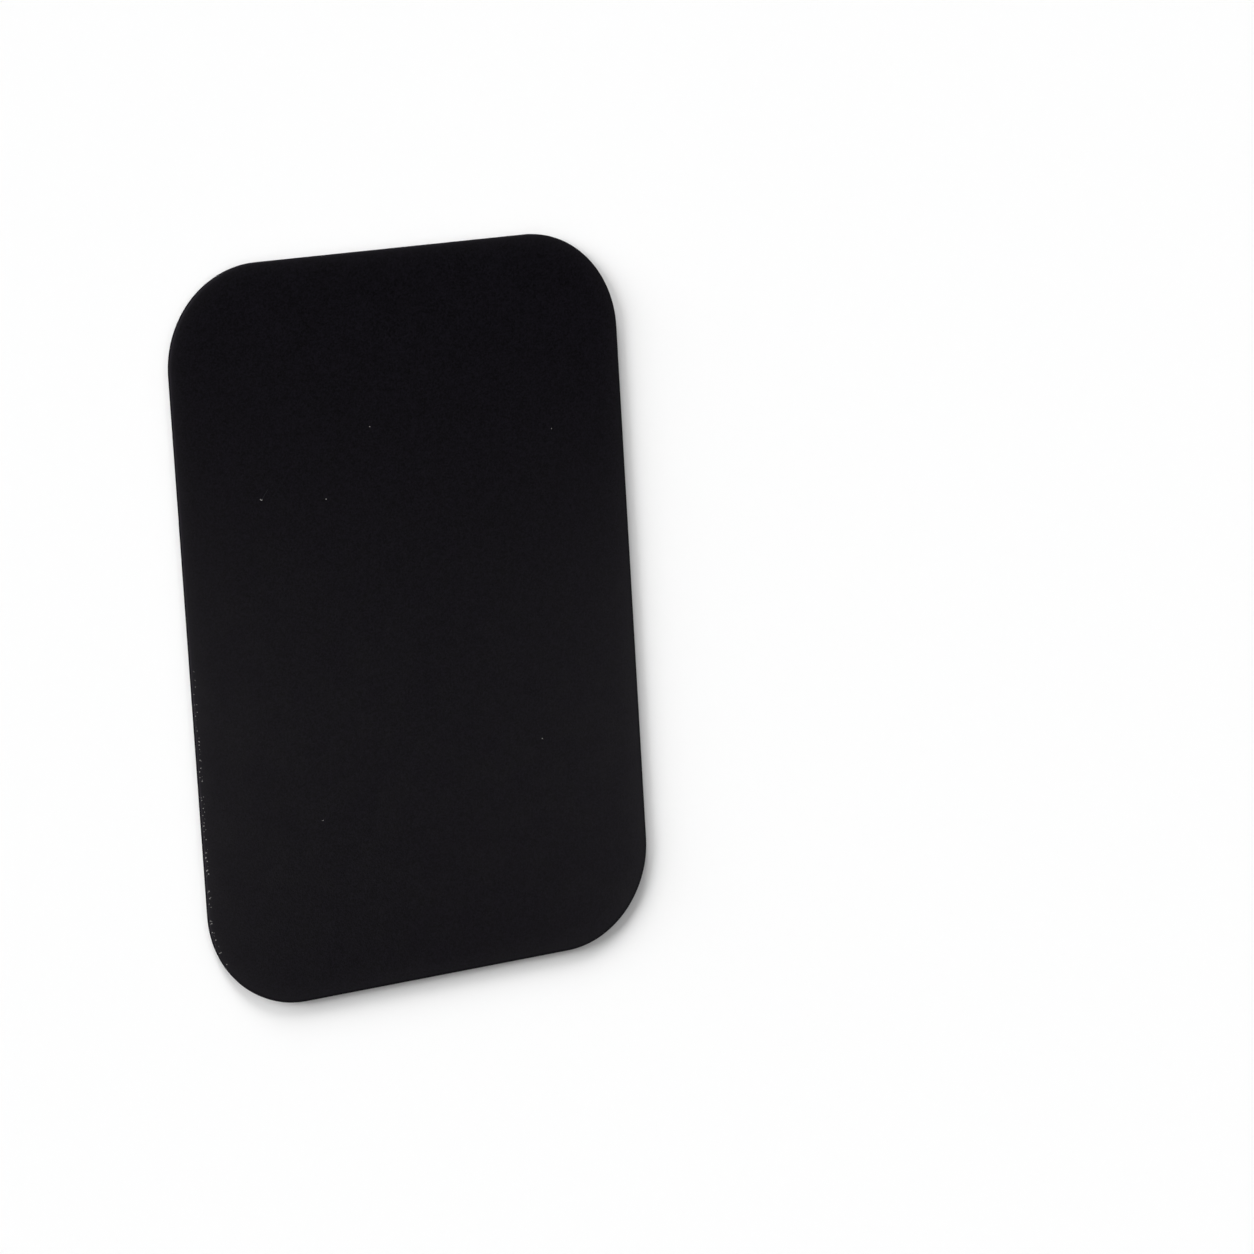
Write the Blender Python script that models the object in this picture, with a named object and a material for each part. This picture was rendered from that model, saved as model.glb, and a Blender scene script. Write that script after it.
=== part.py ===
"""Magnetic mounting plate for a phone.

A rounded rectangle blanked out of thin sheet steel and coated black, with a sheet of
double-sided adhesive on its back and a paper liner over the adhesive. It lies face up:
X runs across the plate, Y along it and Z up, with the origin under its middle, on the
surface that it lies on. Lengths are in metres.
"""

import math

import bmesh
import bpy
from mathutils import Vector

MM = 0.001

# Steel sheet, with its black coat
PLATE_LENGTH = 65.0 * MM
PLATE_WIDTH = 45.0 * MM
CORNER_RADIUS = 9.0 * MM
SHEET_THICKNESS = 0.5 * MM

# The blanked edge, from the face down: the sheet is drawn in over the die, is cut clean
# through a share of its thickness, and tears away over the rest
DIE_ROLL_WIDTH = 0.30 * MM
DIE_ROLL_DEPTH = 0.12 * MM
CLEAN_CUT_SHARE = 0.60
TEAR_TAPER = 0.04 * MM
BACK_EDGE_ROUND = 0.05 * MM

# Adhesive and liner, each set in from the edge of the steel
ADHESIVE_THICKNESS = 0.20 * MM
ADHESIVE_INSET = 1.0 * MM
LINER_THICKNESS = 0.10 * MM
LINER_INSET = 0.6 * MM

# Facets in a quarter turn of each kind of round
CORNER_STEPS = 24
DIE_ROLL_STEPS = 8
BACK_EDGE_STEPS = 4
SHARP_ANGLE = math.radians(30)

# Heights of the faces that the layers share
LINER_TOP = LINER_THICKNESS
ADHESIVE_TOP = LINER_TOP + ADHESIVE_THICKNESS
FACE_HEIGHT = ADHESIVE_TOP + SHEET_THICKNESS


def clear_scene():
    for old in list(bpy.data.objects):
        bpy.data.objects.remove(old, do_unlink=True)


def make_material(name, color, roughness, metallic=0.0):
    material = bpy.data.materials.new(name)
    material.use_nodes = True
    shader = material.node_tree.nodes["Principled BSDF"]
    shader.inputs["Base Color"].default_value = (*color, 1.0)
    shader.inputs["Roughness"].default_value = roughness
    shader.inputs["Metallic"].default_value = metallic
    return material


def quarter_arc(steps):
    """Cosine and sine at even steps through a quarter turn, both ends included."""
    return [
        (math.cos(turn), math.sin(turn))
        for turn in (math.pi / 2 * step / steps for step in range(steps + 1))
    ]


def plate_outline(inset, height):
    """The plate's rounded rectangle, drawn in by the inset, as a ring at one height."""
    half_width = PLATE_WIDTH / 2 - inset
    half_length = PLATE_LENGTH / 2 - inset
    radius = CORNER_RADIUS - inset
    ring = []
    for quarter in range(4):
        side_x = (1, -1, -1, 1)[quarter]
        side_y = (1, 1, -1, -1)[quarter]
        center = Vector((side_x * (half_width - radius), side_y * (half_length - radius), height))
        for step in range(CORNER_STEPS + 1):
            turn = math.pi / 2 * (quarter + step / CORNER_STEPS)
            ring.append(center + Vector((math.cos(turn), math.sin(turn), 0)) * radius)
    return ring


def loft_section(name, section, material):
    """A closed solid whose rim follows the section, given as (inset, height) from low to high."""
    mesh = bpy.data.meshes.new(name)
    bm = bmesh.new()
    loops = []
    for inset, height in section:
        verts = [bm.verts.new(point) for point in plate_outline(inset, height)]
        loops.append([bm.edges.new((verts[i - 1], verts[i])) for i in range(len(verts))])
    for lower, upper in zip(loops, loops[1:]):
        bmesh.ops.bridge_loops(bm, edges=lower + upper)
    for rim in (loops[0], loops[-1]):
        bmesh.ops.contextual_create(bm, geom=rim)
    bmesh.ops.recalc_face_normals(bm, faces=bm.faces)
    bm.to_mesh(mesh)
    bm.free()

    mesh.materials.append(material)
    mesh.shade_smooth()
    mesh.set_sharp_from_angle(angle=SHARP_ANGLE)
    solid = bpy.data.objects.new(name, mesh)
    bpy.context.scene.collection.objects.link(solid)
    return solid


def blanked_edge():
    """The steel's section, from its back face round the edge to its face."""
    clean_cut_end = FACE_HEIGHT - SHEET_THICKNESS * CLEAN_CUT_SHARE
    section = [
        (TEAR_TAPER + BACK_EDGE_ROUND * (1 - sine), ADHESIVE_TOP + BACK_EDGE_ROUND * (1 - cosine))
        for cosine, sine in quarter_arc(BACK_EDGE_STEPS)
    ]
    section.append((0, clean_cut_end))
    section += [
        (DIE_ROLL_WIDTH * (1 - cosine), FACE_HEIGHT - DIE_ROLL_DEPTH * (1 - sine))
        for cosine, sine in quarter_arc(DIE_ROLL_STEPS)
    ]
    return section


def make_steel_plate():
    coat = make_material("black_coat", color=(0.008, 0.0075, 0.009), roughness=0.55)
    return loft_section("steel_plate", blanked_edge(), coat)


def make_adhesive_pad():
    tape = make_material("adhesive", color=(0.02, 0.02, 0.022), roughness=0.4)
    section = [(ADHESIVE_INSET, LINER_TOP), (ADHESIVE_INSET, ADHESIVE_TOP)]
    return loft_section("adhesive_pad", section, tape)


def make_release_liner():
    paper = make_material("liner_paper", color=(0.75, 0.72, 0.66), roughness=0.45)
    return loft_section("release_liner", [(LINER_INSET, 0), (LINER_INSET, LINER_TOP)], paper)


clear_scene()
make_steel_plate()
make_adhesive_pad()
make_release_liner()
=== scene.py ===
# %% [markdown]
# This lesson dresses one small product: a thin steel plate, coated black, that is stuck to the
# back of a phone so that a magnetic holder can grip it. Below the steel lie a sheet of black
# double-sided adhesive and the pale paper liner that keeps it clean until it is used. The solids
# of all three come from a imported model, in metres, with +Z up. They stay where they are, and
# this script gives them their finish, the light and the camera.

# %% Load the solids
import math

import bmesh
import bpy
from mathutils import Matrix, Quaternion, Vector


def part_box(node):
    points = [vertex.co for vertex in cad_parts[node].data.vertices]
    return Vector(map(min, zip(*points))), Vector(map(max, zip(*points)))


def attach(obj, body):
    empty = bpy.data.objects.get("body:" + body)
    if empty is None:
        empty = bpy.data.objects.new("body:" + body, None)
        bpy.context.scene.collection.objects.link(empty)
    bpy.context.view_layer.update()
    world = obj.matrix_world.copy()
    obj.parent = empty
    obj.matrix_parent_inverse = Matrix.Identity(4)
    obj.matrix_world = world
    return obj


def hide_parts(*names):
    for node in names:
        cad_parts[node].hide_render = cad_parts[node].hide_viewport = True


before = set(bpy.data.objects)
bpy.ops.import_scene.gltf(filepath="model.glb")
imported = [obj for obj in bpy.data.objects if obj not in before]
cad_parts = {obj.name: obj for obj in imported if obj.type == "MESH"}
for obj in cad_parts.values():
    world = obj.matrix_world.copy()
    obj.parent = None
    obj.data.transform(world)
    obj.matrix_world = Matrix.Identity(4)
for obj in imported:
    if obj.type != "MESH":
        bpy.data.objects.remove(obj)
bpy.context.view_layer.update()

MM = 0.001
MICRON = 0.000001

for part_name in sorted(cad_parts):
    low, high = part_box(part_name)
    print(part_name, "measures", [round(side / MM, 3) for side in high - low], "mm")

# %% [markdown]
# The camera comes first, because every later choice is judged through it. The picture was
# taken with a long lens from about 44 cm away, well above the plate and to its left, so the
# plate's sides draw together only slightly. A camera is easiest to place by the point that it
# looks at, its distance from it, and two angles. The last angle turns the picture, so that the
# plate's length runs up it.

# %% Place the camera
CAMERA_LENS = 140.0
CAMERA_AIM = Vector((22.2, -3.99, 0)) * MM
CAMERA_DISTANCE = 442.9 * MM
CAMERA_ELEVATION = math.radians(57.09)
CAMERA_BEARING = math.radians(163.56)
CAMERA_ROLL = math.radians(100.58)


def direction(bearing, elevation):
    """The unit vector at a bearing, turned from +X towards +Y, and an angle above the floor."""
    return Vector((
        math.cos(bearing) * math.cos(elevation),
        math.sin(bearing) * math.cos(elevation),
        math.sin(elevation),
    ))


def link(new_object):
    bpy.context.scene.collection.objects.link(new_object)
    return new_object


backward = direction(CAMERA_BEARING, CAMERA_ELEVATION)
camera = link(bpy.data.objects.new("camera", bpy.data.cameras.new("camera")))
camera.data.lens = CAMERA_LENS
camera.location = CAMERA_AIM + backward * CAMERA_DISTANCE
camera.rotation_mode = "QUATERNION"
camera.rotation_quaternion = backward.to_track_quat("Z", "Y") @ Quaternion((0, 0, 1), CAMERA_ROLL)
bpy.context.scene.camera = camera
print("camera stands at", [round(value / MM, 1) for value in camera.location], "mm")

# %% [markdown]
# Node trees look alike from Python, whether they shade a surface, shade the sky or build a
# mesh. One helper adds a node, sets its properties, and either links or fills each input. A
# second one writes a sum as a Math node. With these two a tree reads almost like a formula.

# %% Two helpers for node trees
NODE_SPACING = 200


def add(tree, kind, inputs=None, **settings):
    """Adds a node. A socket given as an input is linked, and anything else is its value."""
    node = tree.nodes.new(kind)
    node.location.x = NODE_SPACING * len(tree.nodes)
    for name, value in settings.items():
        setattr(node, name, value)
    for name, value in (inputs or {}).items():
        if isinstance(value, bpy.types.NodeSocket):
            tree.links.new(value, node.inputs[name])
        else:
            node.inputs[name].default_value = value
    return node


def calc(tree, operation, first, second=0.0):
    """One sum as a Math node."""
    return add(tree, "ShaderNodeMath", {0: first, 1: second}, operation=operation).outputs[0]


# %% [markdown]
# A Geometry Nodes tree needs sockets before a modifier can hand it sizes, and its result has
# to be taken out again. The modifier's inputs are set by each socket's identifier, because
# names may repeat. The result is copied out as a plain mesh, and the modifier goes with the
# object that carried it, so that nothing is left to be worked out later. A closed mesh with its
# faces outwards has no open edges and a positive volume, so both are good things to print.

# %% Start a tree and run it into a plain mesh
def start_tree(name, sizes, materials=("Material",), takes_mesh=False):
    """A Geometry Nodes tree with a named socket for each size and each material."""
    tree = bpy.data.node_groups.new(name, "GeometryNodeTree")
    if takes_mesh:
        tree.interface.new_socket("Geometry", in_out="INPUT", socket_type="NodeSocketGeometry")
    for size in sizes:
        tree.interface.new_socket(size, in_out="INPUT", socket_type="NodeSocketFloat")
    for material in materials:
        tree.interface.new_socket(material, in_out="INPUT", socket_type="NodeSocketMaterial")
    tree.interface.new_socket("Geometry", in_out="OUTPUT", socket_type="NodeSocketGeometry")
    return tree, add(tree, "NodeGroupInput").outputs


def set_material(tree, geometry, material, chosen=True):
    return add(
        tree, "GeometryNodeSetMaterial",
        {"Geometry": geometry, "Material": material, "Selection": chosen},
    ).outputs["Geometry"]


def finish_tree(tree, geometry):
    add(tree, "NodeGroupOutput", {"Geometry": geometry})
    print("the tree", tree.name, "holds", len(tree.nodes), "nodes")
    return tree


def realized(tree, geometry):
    return add(tree, "GeometryNodeRealizeInstances", {"Geometry": geometry}).outputs["Geometry"]


def grow(tree, name, values, base=None):
    """A new object with the mesh that the tree makes of these values."""
    carrier = link(bpy.data.objects.new(name + "_carrier", base or bpy.data.meshes.new(name)))
    modifier = carrier.modifiers.new("tree", "NODES")
    modifier.node_group = tree
    for item in tree.interface.items_tree:
        if item.in_out == "INPUT" and item.name in values:
            modifier[item.identifier] = values[item.name]
    evaluated = carrier.evaluated_get(bpy.context.evaluated_depsgraph_get())
    mesh = bpy.data.meshes.new_from_object(evaluated)
    bpy.data.objects.remove(carrier)
    mesh.name = name
    return link(bpy.data.objects.new(name, mesh))


def report(piece):
    """Prints a mesh's faces, open edges and volume, and the size of its materials' trees."""
    bm = bmesh.new()
    bm.from_mesh(piece.data)
    open_edges = sum(1 for edge in bm.edges if not edge.is_manifold)
    volume = round(bm.calc_volume(signed=True) / MM**3, 5)
    print(piece.name, "has", len(bm.faces), "faces,", open_edges, "open edges and", volume, "cubic mm")
    bm.free()
    used = {piece.data.materials[face.material_index] for face in piece.data.polygons}
    for name, nodes in sorted((material.name, material.node_tree.nodes) for material in used):
        print("its material", name, "holds", len(nodes), "nodes")


# %% [markdown]
# All three layers are cut from flat stock, so one rule makes them: an outline, a rounded
# rectangle, and a section, the shape of the cut edge. The section is swept along the outline,
# and the two openings that are left are filled. A Bevel modifier on a flat block would be
# quicker, but it gives the same round everywhere, and a sheared edge has a wide, flat one at
# the face and a small one at the back.
#
# The section follows how sheet metal is blanked. The punch first draws the sheet's edge in,
# which leaves a soft roll at the face. It then shears a straight band, and the rest tears away
# with a slight taper. The coat adds a low crown along the edge, because powder builds up there.

# %% Draw the outline and the pieces of a section
ROUND_HANDLE = 0.5523
MIDDLE = 0.5
CORNER_STEPS = 48
OUTLINE_STEP = 0.4 * MM


def rounded_outline(tree, width, length, radius):
    rectangle = add(
        tree, "GeometryNodeCurvePrimitiveQuadrilateral", {"Width": width, "Height": length},
    ).outputs["Curve"]
    rounded = add(
        tree, "GeometryNodeFilletCurve",
        {"Curve": rectangle, "Count": CORNER_STEPS, "Radius": radius}, mode="POLY",
    ).outputs["Curve"]
    return add(
        tree, "GeometryNodeResampleCurve", {"Curve": rounded, "Length": OUTLINE_STEP}, mode="LENGTH",
    ).outputs["Curve"]


def corner_point(tree, inset, height):
    """A point of the section: how far it lies in from the outline, and its height."""
    return add(
        tree, "ShaderNodeCombineXYZ",
        {"X": calc(tree, "MULTIPLY", inset, -1.0), "Y": calc(tree, "MULTIPLY", height, -1.0)},
    ).outputs["Vector"]


def between(tree, start, end, share):
    """A point part of the way. Sockets 4 and 5 are the Mix node's pair for vectors."""
    return add(
        tree, "ShaderNodeMix", {"Factor": share, 4: start, 5: end}, data_type="VECTOR",
    ).outputs[1]


def straight(tree, start, end):
    return add(tree, "GeometryNodeCurvePrimitiveLine", {"Start": start, "End": end}).outputs["Curve"]


def bend(tree, start, start_handle, end_handle, end, steps):
    return add(
        tree, "GeometryNodeCurvePrimitiveBezierSegment",
        {
            "Resolution": steps,
            "Start": start,
            "Start Handle": start_handle,
            "End Handle": end_handle,
            "End": end,
        },
    ).outputs["Curve"]


def quarter_round(tree, start, corner, end, steps):
    """A quarter round from start to end, whose sides would meet at the corner."""
    start_handle = between(tree, start, corner, ROUND_HANDLE)
    end_handle = between(tree, end, corner, ROUND_HANDLE)
    return bend(tree, start, start_handle, end_handle, end, steps)


def joined(tree, pieces):
    join = add(tree, "GeometryNodeJoinGeometry")
    for piece in pieces:
        tree.links.new(piece, join.inputs["Geometry"])
    return join.outputs["Geometry"]


# %% Lay out the cut edge
FACE_ROUND_STEPS = 12
CROWN_STEPS = 8
BACK_ROUND_STEPS = 5
FLAT_LIP = 0.15 * MM


def cut_edge(tree, size):
    """The cut edge as seven short curves, from the face, down the wall, to the back."""
    round_width = size["Face Round Width"]
    crown_end = calc(tree, "ADD", round_width, size["Crown Width"])
    field = calc(tree, "SUBTRACT", size["Top"], size["Crown Height"])
    thickness = calc(tree, "SUBTRACT", size["Top"], size["Base"])
    wall_end = calc(tree, "SUBTRACT", size["Top"], calc(tree, "MULTIPLY", thickness, size["Wall Share"]))
    back_end = calc(tree, "ADD", size["Taper"], size["Back Round"])

    face_lip = corner_point(tree, calc(tree, "ADD", crown_end, FLAT_LIP), field)
    crown_foot = corner_point(tree, crown_end, field)
    crest = corner_point(tree, round_width, size["Top"])
    edge = corner_point(tree, 0.0, size["Top"])
    wall_top = corner_point(tree, 0.0, calc(tree, "SUBTRACT", size["Top"], size["Face Round Depth"]))
    wall_foot = corner_point(tree, 0.0, wall_end)
    tear_foot = corner_point(tree, size["Taper"], calc(tree, "ADD", size["Base"], size["Back Round"]))
    back_corner = corner_point(tree, size["Taper"], size["Base"])
    back_flat = corner_point(tree, back_end, size["Base"])
    back_lip = corner_point(tree, calc(tree, "ADD", back_end, FLAT_LIP), size["Base"])

    crown_middle = calc(tree, "ADD", round_width, calc(tree, "MULTIPLY", size["Crown Width"], MIDDLE))
    crown_low = corner_point(tree, crown_middle, field)
    crown_high = corner_point(tree, crown_middle, size["Top"])
    return [
        straight(tree, face_lip, crown_foot),
        bend(tree, crown_foot, crown_low, crown_high, crest, CROWN_STEPS),
        quarter_round(tree, crest, edge, wall_top, FACE_ROUND_STEPS),
        straight(tree, wall_top, wall_foot),
        straight(tree, wall_foot, tear_foot),
        quarter_round(tree, tear_foot, back_corner, back_flat, BACK_ROUND_STEPS),
        straight(tree, back_flat, back_lip),
    ]


# %% [markdown]
# The sweep leaves two openings, one above and one below. Each is found by its edges, which
# have a face on one side only, and by whether they lie in the upper or the lower half. Welding
# the new faces to the sweep makes one closed skin. The steep faces then get a material of their
# own, because a cut edge never has quite the finish of a face.

# %% Build the tree that cuts a sheet
WELD = 0.5 * MICRON
SHEET_SIZES = (
    "Width", "Length", "Corner Radius", "Base", "Top", "Face Round Width", "Face Round Depth",
    "Wall Share", "Taper", "Back Round", "Crown Width", "Crown Height",
)
SHEET_MATERIALS = ("Face Material", "Wall Material")
WALL_SLOPE = 0.4


def weld(tree, geometry):
    return add(
        tree, "GeometryNodeMergeByDistance", {"Geometry": geometry, "Distance": WELD},
    ).outputs["Geometry"]


def lift(tree, geometry, height):
    offset = add(tree, "ShaderNodeCombineXYZ", {"Z": height}).outputs["Vector"]
    return add(
        tree, "GeometryNodeSetPosition", {"Geometry": geometry, "Offset": offset},
    ).outputs["Geometry"]


def filled_opening(tree, swept, side, level, height):
    """A flat face over one of the two openings, the one above or below a level."""
    faces_beside = add(tree, "GeometryNodeInputMeshEdgeNeighbors").outputs["Face Count"]
    open_edge = calc(tree, "COMPARE", faces_beside, 1.0)
    position = add(tree, "GeometryNodeInputPosition").outputs["Position"]
    edge_height = add(tree, "ShaderNodeSeparateXYZ", {"Vector": position}).outputs["Z"]
    chosen = calc(tree, "MULTIPLY", open_edge, calc(tree, side, edge_height, level))
    rim = add(tree, "GeometryNodeMeshToCurve", {"Mesh": swept, "Selection": chosen}).outputs["Curve"]
    face = add(tree, "GeometryNodeFillCurve", {"Curve": rim}).outputs["Mesh"]
    return lift(tree, face, height)


def build_sheet_tree():
    tree, size = start_tree("cut sheet", SHEET_SIZES, SHEET_MATERIALS)
    outline = rounded_outline(tree, size["Width"], size["Length"], size["Corner Radius"])
    section = joined(tree, cut_edge(tree, size))
    swept = add(tree, "GeometryNodeCurveToMesh", {"Curve": outline, "Profile Curve": section})
    skin = weld(tree, swept.outputs["Mesh"])

    level = calc(tree, "MULTIPLY", calc(tree, "ADD", size["Top"], size["Base"]), MIDDLE)
    field = calc(tree, "SUBTRACT", size["Top"], size["Crown Height"])
    face = filled_opening(tree, skin, "GREATER_THAN", level, field)
    back_face = filled_opening(tree, skin, "LESS_THAN", level, size["Base"])
    back_face = add(tree, "GeometryNodeFlipFaces", {"Mesh": back_face}).outputs["Mesh"]
    closed = weld(tree, joined(tree, [skin, face, back_face]))
    smooth = add(tree, "GeometryNodeSetShadeSmooth", {"Geometry": closed}).outputs["Geometry"]
    real = realized(tree, smooth)

    facing = add(tree, "GeometryNodeInputNormal").outputs["Normal"]
    upward = add(tree, "ShaderNodeSeparateXYZ", {"Vector": facing}).outputs["Z"]
    is_wall = calc(tree, "LESS_THAN", calc(tree, "ABSOLUTE", upward), WALL_SLOPE)
    coated = set_material(tree, real, size["Face Material"])
    return finish_tree(tree, set_material(tree, coated, size["Wall Material"], is_wall))


sheet_tree = build_sheet_tree()

# %% [markdown]
# The coat is black powder, sprayed on dry and baked until it flows together. Close up it is
# not flat: it has a pebbled skin, a fine grain, and wide patches that are a little richer or
# duller. It is paler in a narrow band all round the edge, and a wide, faint band of painted
# sheen lightens the lower part of the two long sides. Part of one long side also has a row of
# painted highlights on its rounded edge: pin-point spots that stand for glints of light.
#
# An image could be painted for it, but a pattern of nodes needs no file and stays sharp from
# any distance. All of it is worked out from the object's own coordinates. The bands need the
# distance from the outline, and the usual formula for a rounded rectangle gives it.

# %% Measure the distance from the outline
CORNER_RADIUS = 9.0 * MM


def edge_distance(tree, place, width, length, radius):
    """How far a point lies inside the rounded rectangle, as a socket."""
    sides = add(tree, "ShaderNodeVectorMath", {0: place}, operation="ABSOLUTE").outputs[0]
    core = (width / 2 - radius, length / 2 - radius, 0)
    beyond = add(tree, "ShaderNodeVectorMath", {0: sides, 1: core}, operation="SUBTRACT").outputs[0]
    split = add(tree, "ShaderNodeSeparateXYZ", {"Vector": beyond})
    out_x = calc(tree, "MAXIMUM", split.outputs["X"])
    out_y = calc(tree, "MAXIMUM", split.outputs["Y"])
    square_x = calc(tree, "MULTIPLY", out_x, out_x)
    square_y = calc(tree, "MULTIPLY", out_y, out_y)
    outside = calc(tree, "SQRT", calc(tree, "ADD", square_x, square_y))
    inside = calc(tree, "MINIMUM", calc(tree, "MAXIMUM", split.outputs["X"], split.outputs["Y"]))
    return calc(tree, "SUBTRACT", radius, calc(tree, "ADD", outside, inside))


# %% [markdown]
# A noise texture seldom leaves the range from 0.3 to 0.7, so a mix that uses it directly looks
# flat. Once that range is stretched, both colours of the mix show. A soft step is the other
# curve that is used here. It starts and ends level, so no line shows where a band begins.

# %% Helpers for materials
NOISE_LOW = 0.3
NOISE_HIGH = 0.7


def noise(tree, place, scale, detail=2.0):
    return add(
        tree, "ShaderNodeTexNoise", {"Vector": place, "Scale": scale, "Detail": detail},
    ).outputs["Fac"]


def scaled(tree, place, scale):
    """The coordinates times a scale. A small scale draws a pattern out along that axis."""
    return add(tree, "ShaderNodeMapping", {"Vector": place, "Scale": scale}).outputs["Vector"]


def remap(tree, value, from_range, to_range, curve="LINEAR"):
    """The value moved from one range to another, along a straight line or a soft step."""
    return add(
        tree, "ShaderNodeMapRange",
        {
            "Value": value,
            "From Min": from_range[0],
            "From Max": from_range[1],
            "To Min": to_range[0],
            "To Max": to_range[1],
        },
        interpolation_type=curve,
    ).outputs["Result"]


def stretched(tree, value, low=0.0, high=1.0):
    """A noise value, stretched so that it goes from low to high."""
    return remap(tree, value, (NOISE_LOW, NOISE_HIGH), (low, high))


def soft_step(tree, value, start, end, low=0.0, high=1.0):
    """Low at the start, high at the end, and flat at both."""
    return remap(tree, value, (start, end), (low, high), "SMOOTHSTEP")


def blend(tree, factor, first, second):
    """A mix of two plain values."""
    return add(tree, "ShaderNodeMix", {"Factor": factor, "A": first, "B": second}).outputs["Result"]


def mixed_color(tree, factor, first, second):
    """A mix of two colours. Sockets 6 and 7 are the Mix node's pair for colours."""
    return add(
        tree, "ShaderNodeMix", {"Factor": factor, 6: first, 7: second}, data_type="RGBA",
    ).outputs[2]


def start_material(name):
    material = bpy.data.materials.new(name)
    material.use_nodes = True
    tree = material.node_tree
    place = add(tree, "ShaderNodeTexCoord").outputs["Object"]
    return material, tree, place, tree.nodes["Principled BSDF"]


def roughen(tree, shader, height, distance=1.0):
    """Bumps the surface by a height, which is in metres if no distance scales it."""
    bump = add(tree, "ShaderNodeBump", {"Height": height, "Distance": distance, "Strength": 1.0})
    tree.links.new(bump.outputs["Normal"], shader.inputs["Normal"])


# %% Mix the black coat
COAT_RICH = (0.0002, 0.0001, 0.0003, 1)
COAT_DULL = (0.0052, 0.0044, 0.0069, 1)
COAT_PALE_EDGE_AND_SHEEN = (0.0104, 0.0096, 0.0113, 1)
COAT_SPECULAR = 0.07
COAT_ROUGHNESS = (0.34, 0.40)
PEBBLE_SCALE = 4200
PEBBLE_HEIGHT = 5.0 * MICRON
GRAIN_SCALE = 7000
GRAIN_HEIGHT = 7.0 * MICRON
GRAIN_SHARE = 0.85
PATCH_SCALE = 500
PATCH_DETAIL = 4.0
EDGE_BAND_WIDTH = 0.63 * MM
EDGE_BAND_SHARE = 0.56
# The side band is a painted sheen, strongest on the lower part of the two long sides.
SIDE_SHEEN_WIDTH = 7.0 * MM
SIDE_SHEEN_SHARE = 0.40
SIDE_SHEEN_FROM = 25.0 * MM
SIDE_SHEEN_FULL = -8.0 * MM
# The pin-point spots are painted highlights, glints of light on the rounded edge of the -X side.
PAINTED_GLINT_COLOR = (0.21, 0.205, 0.20, 1)
SPOT_RADIUS = 0.044 * MM
SPOT_SPACING = 0.20 * MM
SPOTS_FROM = 4.0 * MM
SPOTS_FULL = -6.0 * MM
SPOTS_BEYOND = -21.0 * MM
SPOT_DEPTH = 0.20 * MM
SPOT_SPREAD = 0.12 * MM


def faded(tree, distance, width):
    """One at no distance, and down to about a third with each further width."""
    return calc(tree, "EXPONENT", calc(tree, "DIVIDE", distance, -width))


def pale_edge_and_sheen(tree, split, depth, width):
    """How much the coat pales: a narrow band all round, and a wide band of painted sheen along the long
    sides.
    """
    edge_band = calc(tree, "MULTIPLY", faded(tree, depth, EDGE_BAND_WIDTH), EDGE_BAND_SHARE)
    side = calc(tree, "SUBTRACT", width / 2, calc(tree, "ABSOLUTE", split["X"]))
    painted_side_sheen = calc(tree, "MULTIPLY", faded(tree, side, SIDE_SHEEN_WIDTH), SIDE_SHEEN_SHARE)
    reach = soft_step(tree, split["Y"], SIDE_SHEEN_FROM, SIDE_SHEEN_FULL)
    return calc(tree, "ADD", edge_band, calc(tree, "MULTIPLY", painted_side_sheen, reach))


def painted_glints(tree, place, split, depth):
    """One on the painted highlights, pin-point spots along the rounded edge of the -X side, and nothing
    elsewhere.
    """
    scatter = add(tree, "ShaderNodeTexVoronoi", {"Vector": place, "Scale": 1 / SPOT_SPACING})
    reach = soft_step(tree, split["Y"], SPOTS_FROM, SPOTS_FULL)
    radius = calc(tree, "MULTIPLY", reach, SPOT_RADIUS / SPOT_SPACING)
    is_spot = calc(tree, "LESS_THAN", scatter.outputs["Distance"], radius)
    off_line = calc(tree, "ABSOLUTE", calc(tree, "SUBTRACT", depth, SPOT_DEPTH))
    on_line = calc(tree, "LESS_THAN", off_line, SPOT_SPREAD)
    on_side = calc(tree, "LESS_THAN", split["X"], SPOTS_BEYOND)
    return calc(tree, "MULTIPLY", is_spot, calc(tree, "MULTIPLY", on_line, on_side))


def coat_material(width, length):
    material, tree, place, shader = start_material("black_powder_coat")
    patches = stretched(tree, noise(tree, place, PATCH_SCALE, PATCH_DETAIL))
    grain = stretched(tree, noise(tree, place, GRAIN_SCALE))
    pebbles = noise(tree, place, PEBBLE_SCALE)
    mottle = blend(tree, GRAIN_SHARE, patches, grain)

    split = add(tree, "ShaderNodeSeparateXYZ", {"Vector": place}).outputs
    depth = edge_distance(tree, place, width, length, CORNER_RADIUS)
    color = mixed_color(tree, mottle, COAT_RICH, COAT_DULL)
    # A paler narrow band all round the edge, plus painted sheen on the lower part of the long sides.
    color = mixed_color(tree, pale_edge_and_sheen(tree, split, depth, width), color, COAT_PALE_EDGE_AND_SHEEN)
    # Painted highlights: pin-point glints along the lower part of the -X side's rounded edge.
    color = mixed_color(tree, painted_glints(tree, place, split, depth), color, PAINTED_GLINT_COLOR)
    tree.links.new(color, shader.inputs["Base Color"])
    tree.links.new(remap(tree, patches, (0, 1), COAT_ROUGHNESS), shader.inputs["Roughness"])
    shader.inputs["Specular IOR Level"].default_value = COAT_SPECULAR
    pebble_relief = calc(tree, "MULTIPLY", pebbles, PEBBLE_HEIGHT)
    grain_relief = calc(tree, "MULTIPLY", grain, GRAIN_HEIGHT)
    roughen(tree, shader, calc(tree, "ADD", pebble_relief, grain_relief))
    return material


# %% [markdown]
# On the cut edge the powder lies thin over bare sheared metal. The upper part of the wall was
# burnished by the die and keeps fine upright streaks, and the lower part was torn and is
# coarser. Neither has any gloss, so the shader's specular level is zero there. One material
# with a mask could dress the whole plate, but two short ones are easier to read and to change.

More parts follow.
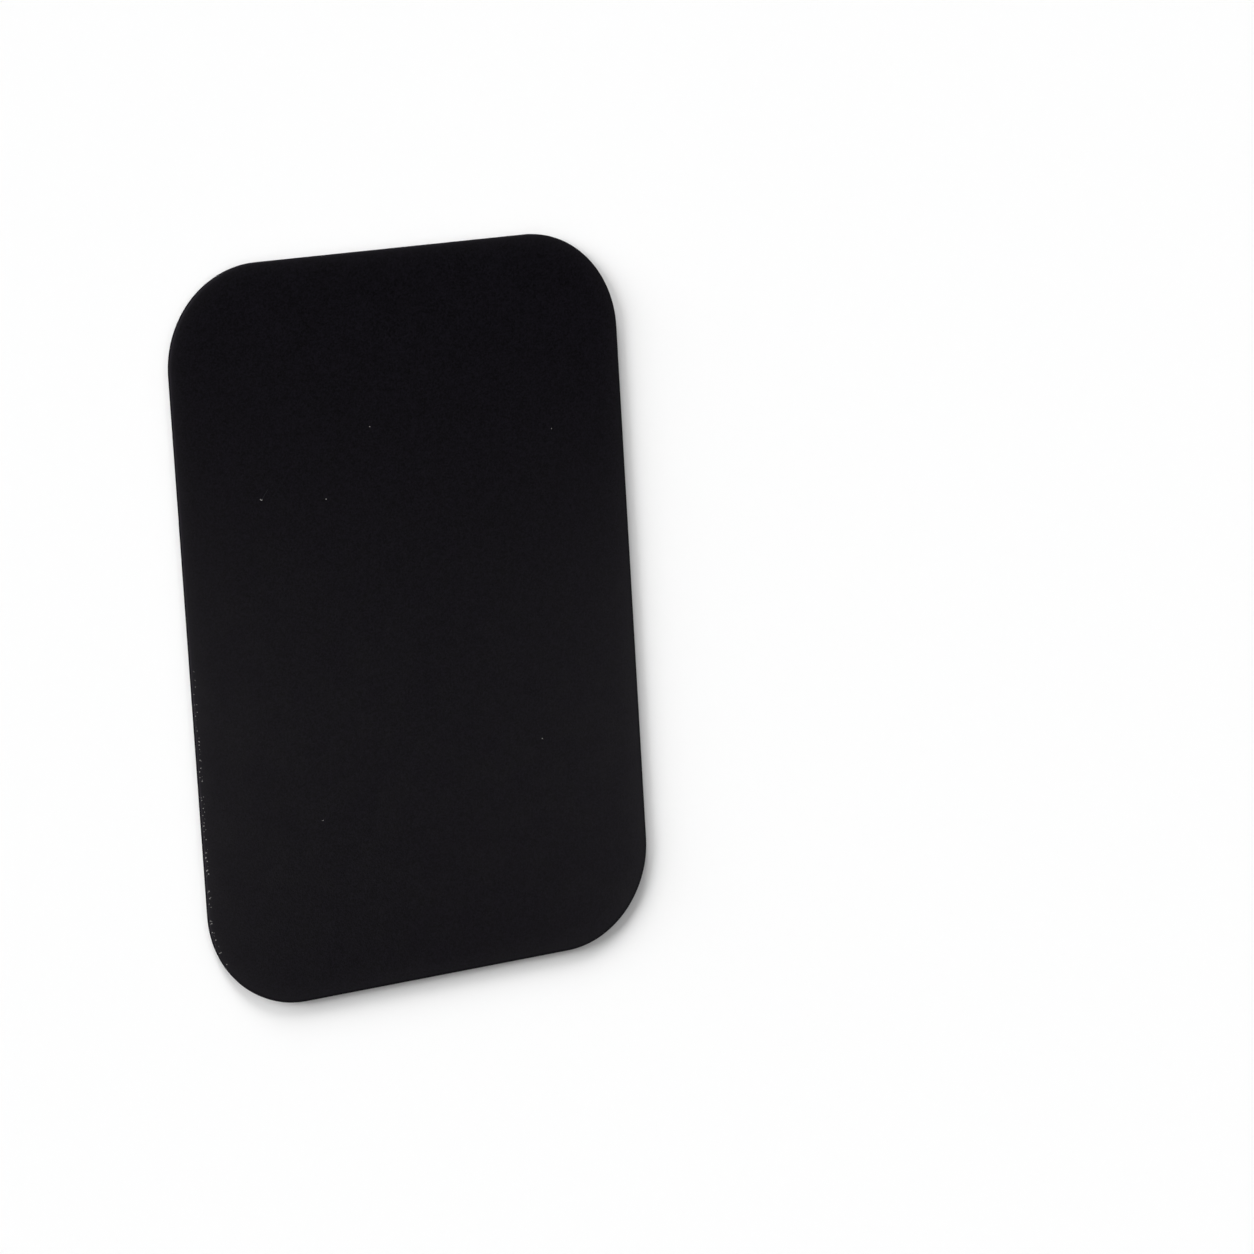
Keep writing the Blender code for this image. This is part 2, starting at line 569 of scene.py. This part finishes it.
# %% Mix the coat of the cut edge
EDGE_DARK = (0.0028, 0.0024, 0.0033, 1)
EDGE_PALE = (0.0050, 0.0044, 0.0057, 1)
STREAK_SCALE = 9000
STREAK_STRETCH = (1.0, 1.0, 0.08)
STREAK_HEIGHT = 3.0 * MICRON
TEAR_SCALE = 14000
TEAR_DETAIL = 3.0
TEAR_HEIGHT = 10.0 * MICRON
TEAR_BLEND = 0.03 * MM
EDGE_ROUGHNESS = (0.7, 0.95)
WALL_SHARE = 0.60


def edge_material(base, top):
    material, tree, place, shader = start_material("cut_edge_coat")
    streaks = noise(tree, scaled(tree, place, STREAK_STRETCH), STREAK_SCALE)
    grains = noise(tree, place, TEAR_SCALE, TEAR_DETAIL)
    tear_top = top - (top - base) * WALL_SHARE
    height = add(tree, "ShaderNodeSeparateXYZ", {"Vector": place}).outputs["Z"]
    torn = remap(tree, height, (tear_top - TEAR_BLEND, tear_top + TEAR_BLEND), (1, 0))

    tone = blend(tree, torn, streaks, grains)
    edge_color = mixed_color(tree, stretched(tree, tone), EDGE_DARK, EDGE_PALE)
    tree.links.new(edge_color, shader.inputs["Base Color"])
    tree.links.new(remap(tree, torn, (0, 1), EDGE_ROUGHNESS), shader.inputs["Roughness"])
    shader.inputs["Specular IOR Level"].default_value = 0.0
    streak_relief = calc(tree, "MULTIPLY", streaks, STREAK_HEIGHT)
    tear_relief = calc(tree, "MULTIPLY", grains, TEAR_HEIGHT)
    roughen(tree, shader, blend(tree, torn, streak_relief, tear_relief))
    return material


# %% Make the coated plate
plate_low, plate_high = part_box("steel_plate")
plate_size = plate_high - plate_low
CROWN_HEIGHT = 0.012 * MM

coated_plate = grow(sheet_tree, "coated_plate", {
    "Width": plate_size.x,
    "Length": plate_size.y,
    "Corner Radius": CORNER_RADIUS,
    "Base": plate_low.z,
    "Top": plate_high.z,
    "Face Round Width": 0.30 * MM,
    "Face Round Depth": 0.12 * MM,
    "Wall Share": WALL_SHARE,
    "Taper": 0.04 * MM,
    "Back Round": 0.05 * MM,
    "Crown Width": 1.8 * MM,
    "Crown Height": CROWN_HEIGHT,
    "Face Material": coat_material(plate_size.x, plate_size.y),
    "Wall Material": edge_material(plate_low.z, plate_high.z),
})
report(coated_plate)

# %% [markdown]
# The adhesive is a soft acrylic sheet, cut a millimetre smaller all round so that none of it
# shows past the steel. The liner is paper with a thin silicone skin, and it stands a little
# proud of the adhesive so that a fingernail can lift it. Both come from the same tree as the
# plate, with nearly square edges and no crown. Only their finishes are new.

# %% Mix the adhesive and the liner's paper
TAPE_BLACK = (0.010, 0.010, 0.011, 1)
TAPE_GREY = (0.022, 0.022, 0.024, 1)
TAPE_CLOUD_SCALE = 300
TAPE_GRAIN_SCALE = 6000
TAPE_GRAIN_HEIGHT = 4.0 * MICRON
TAPE_ROUGHNESS = (0.32, 0.48)

PAPER_PALE = (0.78, 0.74, 0.66, 1)
PAPER_WARM = (0.70, 0.65, 0.56, 1)
PAPER_CLOUD_SCALE = 260
PAPER_FIBRE_SCALE = 2600
PAPER_FIBRE_DETAIL = 4.0
PAPER_FIBRE_STRETCH = (1.0, 0.18, 1.0)
PAPER_FIBRE_HEIGHT = 5.0 * MICRON
PAPER_TONES = (0.35, 0.65)
PAPER_ROUGHNESS = (0.42, 0.55)
SILICONE_SKIN = 0.25


def tape_material():
    material, tree, place, shader = start_material("acrylic_adhesive")
    clouds = noise(tree, place, TAPE_CLOUD_SCALE)
    tree.links.new(mixed_color(tree, clouds, TAPE_BLACK, TAPE_GREY), shader.inputs["Base Color"])
    tree.links.new(stretched(tree, clouds, *TAPE_ROUGHNESS), shader.inputs["Roughness"])
    roughen(tree, shader, noise(tree, place, TAPE_GRAIN_SCALE), TAPE_GRAIN_HEIGHT)
    return material


def paper_material():
    material, tree, place, shader = start_material("liner_paper")
    drawn_out = scaled(tree, place, PAPER_FIBRE_STRETCH)
    fibres = noise(tree, drawn_out, PAPER_FIBRE_SCALE, PAPER_FIBRE_DETAIL)
    clouds = noise(tree, place, PAPER_CLOUD_SCALE)
    tone = calc(tree, "MULTIPLY", calc(tree, "ADD", clouds, fibres), MIDDLE)
    paper_color = mixed_color(tree, remap(tree, tone, PAPER_TONES, (0, 1)), PAPER_PALE, PAPER_WARM)
    tree.links.new(paper_color, shader.inputs["Base Color"])
    tree.links.new(stretched(tree, fibres, *PAPER_ROUGHNESS), shader.inputs["Roughness"])
    shader.inputs["Coat Weight"].default_value = SILICONE_SKIN
    roughen(tree, shader, fibres, PAPER_FIBRE_HEIGHT)
    return material


# %% Make the adhesive and the liner
CUT_ROUND = 0.015 * MM


def soft_layer(name, node_name, material):
    """A layer with nearly square edges, in the place of one of the solids."""
    layer_low, layer_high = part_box(node_name)
    layer_size = layer_high - layer_low
    inset = (plate_size.x - layer_size.x) / 2
    return grow(sheet_tree, name, {
        "Width": layer_size.x,
        "Length": layer_size.y,
        "Corner Radius": CORNER_RADIUS - inset,
        "Base": layer_low.z,
        "Top": layer_high.z,
        "Face Round Width": CUT_ROUND,
        "Face Round Depth": CUT_ROUND,
        "Wall Share": 0.5,
        "Taper": 0.0,
        "Back Round": CUT_ROUND,
        "Crown Width": 0.1 * MM,
        "Crown Height": 0.0,
        "Face Material": material,
        "Wall Material": material,
    })


adhesive_sheet = soft_layer("adhesive_sheet", "adhesive_pad", tape_material())
paper_liner = soft_layer("paper_liner", "release_liner", paper_material())
report(adhesive_sheet)
report(paper_liner)

# %% [markdown]
# A black surface shows every grain of dust. A few specks lie on this plate, each about as wide
# as a hair is thick, and one has a short fibre beside it. Their places are listed one by one. A
# tree sets a flattened ball on each, turned and stretched by random numbers with fixed seeds.
# The fibre is cotton, which is a flat ribbon, so a flattened ring is swept along a bent curve.
# Dots in the coat's material would do from above, but real flakes stand up from the face and
# show at a low angle too. They are so thin that they lie in the hollow inside the crown.

# %% Build the tree that scatters dust
SPECK_STRETCH_LEAST = (1.0, 0.8, 1.0)
SPECK_STRETCH_MOST = (1.5, 1.1, 1.0)
STRETCH_SEED = 7
TURN_SEED = 8
FLAKE_SUBDIVISIONS = 2
FIBRE_STEPS = 16
FIBRE_SIDES = 8
FIBRE_FLATNESS = 0.35
DUST_SIZES = ("Half Width", "Half Height", "Fibre Half Width", "Level")
DUST_MATERIALS = ("Flake Material", "Fibre Material")


def random_vector(tree, least, most, seed):
    return add(
        tree, "FunctionNodeRandomValue", {0: least, 1: most, "Seed": seed}, data_type="FLOAT_VECTOR",
    ).outputs["Value"]


def flakes_on(tree, points, half_width, half_height):
    ball = add(
        tree, "GeometryNodeMeshIcoSphere", {"Radius": 1.0, "Subdivisions": FLAKE_SUBDIVISIONS},
    ).outputs["Mesh"]
    half = add(tree, "ShaderNodeCombineXYZ", {"X": half_width, "Y": half_width, "Z": half_height})
    flake = add(tree, "GeometryNodeTransform", {"Geometry": ball, "Scale": half.outputs["Vector"]})
    return add(
        tree, "GeometryNodeInstanceOnPoints",
        {
            "Points": points,
            "Instance": flake.outputs["Geometry"],
            "Rotation": random_vector(tree, (0, 0, 0), (0, 0, math.tau), TURN_SEED),
            "Scale": random_vector(tree, SPECK_STRETCH_LEAST, SPECK_STRETCH_MOST, STRETCH_SEED),
        },
    ).outputs["Instances"]


def fibre_along(tree, places, half_width, height):
    """A thin flat fibre that bends once on its way through three places."""
    start, middle, end = (
        add(tree, "ShaderNodeCombineXYZ", {"X": x * MM, "Y": y * MM, "Z": height}).outputs["Vector"]
        for x, y in places
    )
    path = add(
        tree, "GeometryNodeCurveQuadraticBezier",
        {"Resolution": FIBRE_STEPS, "Start": start, "Middle": middle, "End": end},
    ).outputs["Curve"]
    ring = add(
        tree, "GeometryNodeCurvePrimitiveCircle", {"Resolution": FIBRE_SIDES, "Radius": half_width},
    ).outputs["Curve"]
    flat_ring = add(
        tree, "GeometryNodeTransform", {"Geometry": ring, "Scale": (1.0, FIBRE_FLATNESS, 1.0)},
    ).outputs["Geometry"]
    return add(
        tree, "GeometryNodeCurveToMesh", {"Curve": path, "Profile Curve": flat_ring, "Fill Caps": True},
    ).outputs["Mesh"]


def build_dust_tree(fibre_places):
    tree, size = start_tree("scatter dust", DUST_SIZES, DUST_MATERIALS, takes_mesh=True)
    flakes = flakes_on(tree, size["Geometry"], size["Half Width"], size["Half Height"])
    fibre = fibre_along(tree, fibre_places, size["Fibre Half Width"], size["Level"])
    flakes = set_material(tree, realized(tree, flakes), size["Flake Material"])
    fibre = set_material(tree, fibre, size["Fibre Material"])
    return finish_tree(tree, joined(tree, [flakes, fibre]))


# %% Scatter the dust
SPECKS = (
    (-3.47, 17.21), (15.0, 15.01), (-8.27, 11.39), (-14.68, 12.09), (-14.56, 12.04),
    (12.08, -12.73), (-10.73, -16.73),
)
FIBRE = ((-14.5, 12.06), (-14.25, 12.5), (-13.85, 12.95))
SPECK_HALF_WIDTH = 0.034 * MM
SPECK_HALF_HEIGHT = 0.005 * MM
FIBRE_HALF_WIDTH = 0.012 * MM
DUST_PALE = (0.44, 0.43, 0.42, 1)
DUST_GREY = (0.26, 0.25, 0.24, 1)
FIBRE_GREY = (0.013, 0.013, 0.014, 1)
FIBRE_BLUE = (0.008, 0.008, 0.011, 1)
DUST_GRAIN_SCALE = 20000
DUST_ROUGHNESS = (0.8, 0.95)

dust_level = plate_high.z - CROWN_HEIGHT + SPECK_HALF_HEIGHT


def dust_material(name, dark, pale):
    material, tree, place, shader = start_material(name)
    grain = stretched(tree, noise(tree, place, DUST_GRAIN_SCALE))
    tree.links.new(mixed_color(tree, grain, dark, pale), shader.inputs["Base Color"])
    tree.links.new(remap(tree, grain, (0, 1), DUST_ROUGHNESS), shader.inputs["Roughness"])
    return material


speck_points = bpy.data.meshes.new("speck_points")
speck_points.from_pydata([(x * MM, y * MM, dust_level) for x, y in SPECKS], [], [])
dust = grow(build_dust_tree(FIBRE), "dust", {
    "Half Width": SPECK_HALF_WIDTH,
    "Half Height": SPECK_HALF_HEIGHT,
    "Fibre Half Width": FIBRE_HALF_WIDTH,
    "Level": dust_level,
    "Flake Material": dust_material("pale_dust", DUST_GREY, DUST_PALE),
    "Fibre Material": dust_material("dark_fibre", FIBRE_BLUE, FIBRE_GREY),
}, base=speck_points)
report(dust)

# %% [markdown]
# The studio is plain: a pale floor and soft light. The two main lamps stand low at the upper
# left of the picture. A sun lamp with a wide angle is the simplest soft lamp, because it is
# equally bright all over the floor, and its angle alone sets how quickly a shadow fades. The
# plate is under a millimetre thick, so even low light throws a shadow only a few millimetres
# long. These two are hidden from gloss, where their mirror image would burn out a low view.
# The room's bright side shows there in their place.
#
# Two weak spot lamps stand where the plate mirrors them towards the camera. They give the
# lower half of the coat its faint sheen, in two wide pools. They are set to show in gloss
# only, so they leave the floor and its shadows alone.
#
# The floor has an opening under the plate, a little smaller than the plate, so that nothing
# shows from above. Its underside is clear, so the liner can be looked at from below.

# %% Build the floor
FLOOR_SIDE = 3.2
FLOOR_GAP = 0.02 * MM
FLOOR_TONE = 0.86
OPENING_INSET = 1.6 * MM
FLOOR_SIZES = ("Side", "Width", "Length", "Corner Radius", "Level")


def build_floor_tree():
    tree, size = start_tree("floor with an opening", FLOOR_SIZES)
    rim = add(
        tree, "GeometryNodeCurvePrimitiveQuadrilateral", {"Width": size["Side"], "Height": size["Side"]},
    ).outputs["Curve"]
    opening = rounded_outline(tree, size["Width"], size["Length"], size["Corner Radius"])
    sheet = add(tree, "GeometryNodeFillCurve", {"Curve": joined(tree, [rim, opening])}).outputs["Mesh"]
    return finish_tree(tree, set_material(tree, lift(tree, sheet, size["Level"]), size["Material"]))


def floor_material():
    material, tree, _, shader = start_material("white_floor")
    shader.inputs["Base Color"].default_value = (FLOOR_TONE, FLOOR_TONE, FLOOR_TONE, 1)
    shader.inputs["Roughness"].default_value = 1.0
    shader.inputs["Specular IOR Level"].default_value = 0.0
    underside = add(tree, "ShaderNodeNewGeometry").outputs["Backfacing"]
    clear = add(tree, "ShaderNodeBsdfTransparent").outputs["BSDF"]
    one_sided = add(tree, "ShaderNodeMixShader", {"Fac": underside, 1: shader.outputs["BSDF"], 2: clear})
    tree.links.new(one_sided.outputs["Shader"], tree.nodes["Material Output"].inputs["Surface"])
    return material


floor = grow(build_floor_tree(), "floor", {
    "Side": FLOOR_SIDE,
    "Width": plate_size.x - 2 * OPENING_INSET,
    "Length": plate_size.y - 2 * OPENING_INSET,
    "Corner Radius": CORNER_RADIUS - OPENING_INSET,
    "Level": -FLOOR_GAP,
    "Material": floor_material(),
})

# %% Hang the lights
# Each has a name, its bearing, elevation and spread in degrees, and its strength.
KEYS = (("key_top", 110, 19, 23, 2.85), ("key_left", 157, 15, 33, 5.36))

FILL_DISTANCE = 0.6
FILL_RADIUS = 25 * MM
FILL_MIRRORED_AT = Vector((-4, -16, 0)) * MM
# Each has a name, the point that it is aimed at, the radius of its pool in mm, and its power.
FILLS = (("fill_left", (-49, -9), 53, 1.15), ("fill_right", (35, -20), 45, 1.08))


def aim(lamp, towards):
    """Turns a lamp so that its light arrives from this direction."""
    lamp.rotation_mode = "QUATERNION"
    lamp.rotation_quaternion = towards.to_track_quat("Z", "Y")


for lamp_name, bearing, elevation, spread, strength in KEYS:
    key_light = bpy.data.lights.new(lamp_name, "SUN")
    key_light.energy = strength
    key_light.angle = math.radians(spread)
    key = link(bpy.data.objects.new(lamp_name, key_light))
    key.visible_glossy = False
    aim(key, direction(math.radians(bearing), math.radians(elevation)))

to_camera = camera.location - FILL_MIRRORED_AT
to_fills = Vector((-to_camera.x, -to_camera.y, to_camera.z)).normalized()
fill_place = FILL_MIRRORED_AT + to_fills * FILL_DISTANCE
for lamp_name, (aim_x, aim_y), pool_radius, power in FILLS:
    fill_light = bpy.data.lights.new(lamp_name, "SPOT")
    fill_light.energy = power
    fill_light.spot_size = 2 * math.atan(pool_radius * MM / FILL_DISTANCE)
    fill_light.spot_blend = 1.0
    fill_light.shadow_soft_size = FILL_RADIUS
    fill = link(bpy.data.objects.new(lamp_name, fill_light))
    fill.visible_diffuse = False
    fill.location = fill_place
    aim(fill, fill_place - Vector((aim_x * MM, aim_y * MM, 0)))

print("lamps:", [lamp.name for lamp in bpy.data.lights])

# %% [markdown]
# The rest of the room fills the shadow. It is brighter on the light's side and dim on the far
# side, which is the side that a flat dark plate mirrors towards the camera. That is why the
# plate looks deep black although everything around it is white. From under the floor the room
# is evenly bright. Where the camera sees past the floor, the background is plain white. A
# photograph of a real room could light it too, but this coat blurs whatever it mirrors, so a
# bright side and a dim one are enough.

# %% Build the room's light
ROOM_BEARING = math.radians(135)
ROOM_ELEVATION = math.radians(30)
ROOM_FADE_START = -0.4
ROOM_FADE_END = 0.6
ROOM_DIM = 0.028
ROOM_BRIGHT = 0.60
ROOM_BELOW = 0.9
BACKGROUND_TONE = 1.0
WHITE = (1, 1, 1, 1)

world = bpy.data.worlds.new("room")
world.use_nodes = True
bpy.context.scene.world = world
sky = world.node_tree
sky.nodes.clear()
ray = add(sky, "ShaderNodeTexCoord").outputs["Generated"]
towards_light = add(
    sky, "ShaderNodeVectorMath", {0: ray, 1: direction(ROOM_BEARING, ROOM_ELEVATION)},
    operation="DOT_PRODUCT",
).outputs["Value"]
above = soft_step(sky, towards_light, ROOM_FADE_START, ROOM_FADE_END, ROOM_DIM, ROOM_BRIGHT)
ray_height = add(sky, "ShaderNodeSeparateXYZ", {"Vector": ray}).outputs["Z"]
is_below = calc(sky, "LESS_THAN", ray_height, 0.0)
room = blend(sky, is_below, above, ROOM_BELOW)
is_camera_ray = add(sky, "ShaderNodeLightPath").outputs["Is Camera Ray"]
room_strength = blend(sky, is_camera_ray, room, BACKGROUND_TONE)
background = add(sky, "ShaderNodeBackground", {"Color": WHITE, "Strength": room_strength})
add(sky, "ShaderNodeOutputWorld", {"Surface": background.outputs["Background"]})
print("the sky holds", len(sky.nodes), "nodes")

bpy.context.scene.view_settings.view_transform = "Standard"

# %% [markdown]
# Each piece now says which body it moves with. This product has no joints, so there is one
# body. The solids that the layers stand for are hidden here, but they are not removed. The dust
# stands for no solid, so it only rides along.

# %% Hand over the pieces
for piece in (coated_plate, adhesive_sheet, paper_liner, dust):
    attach(piece, "root")

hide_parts("steel_plate")
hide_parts("adhesive_pad")
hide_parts("release_liner")
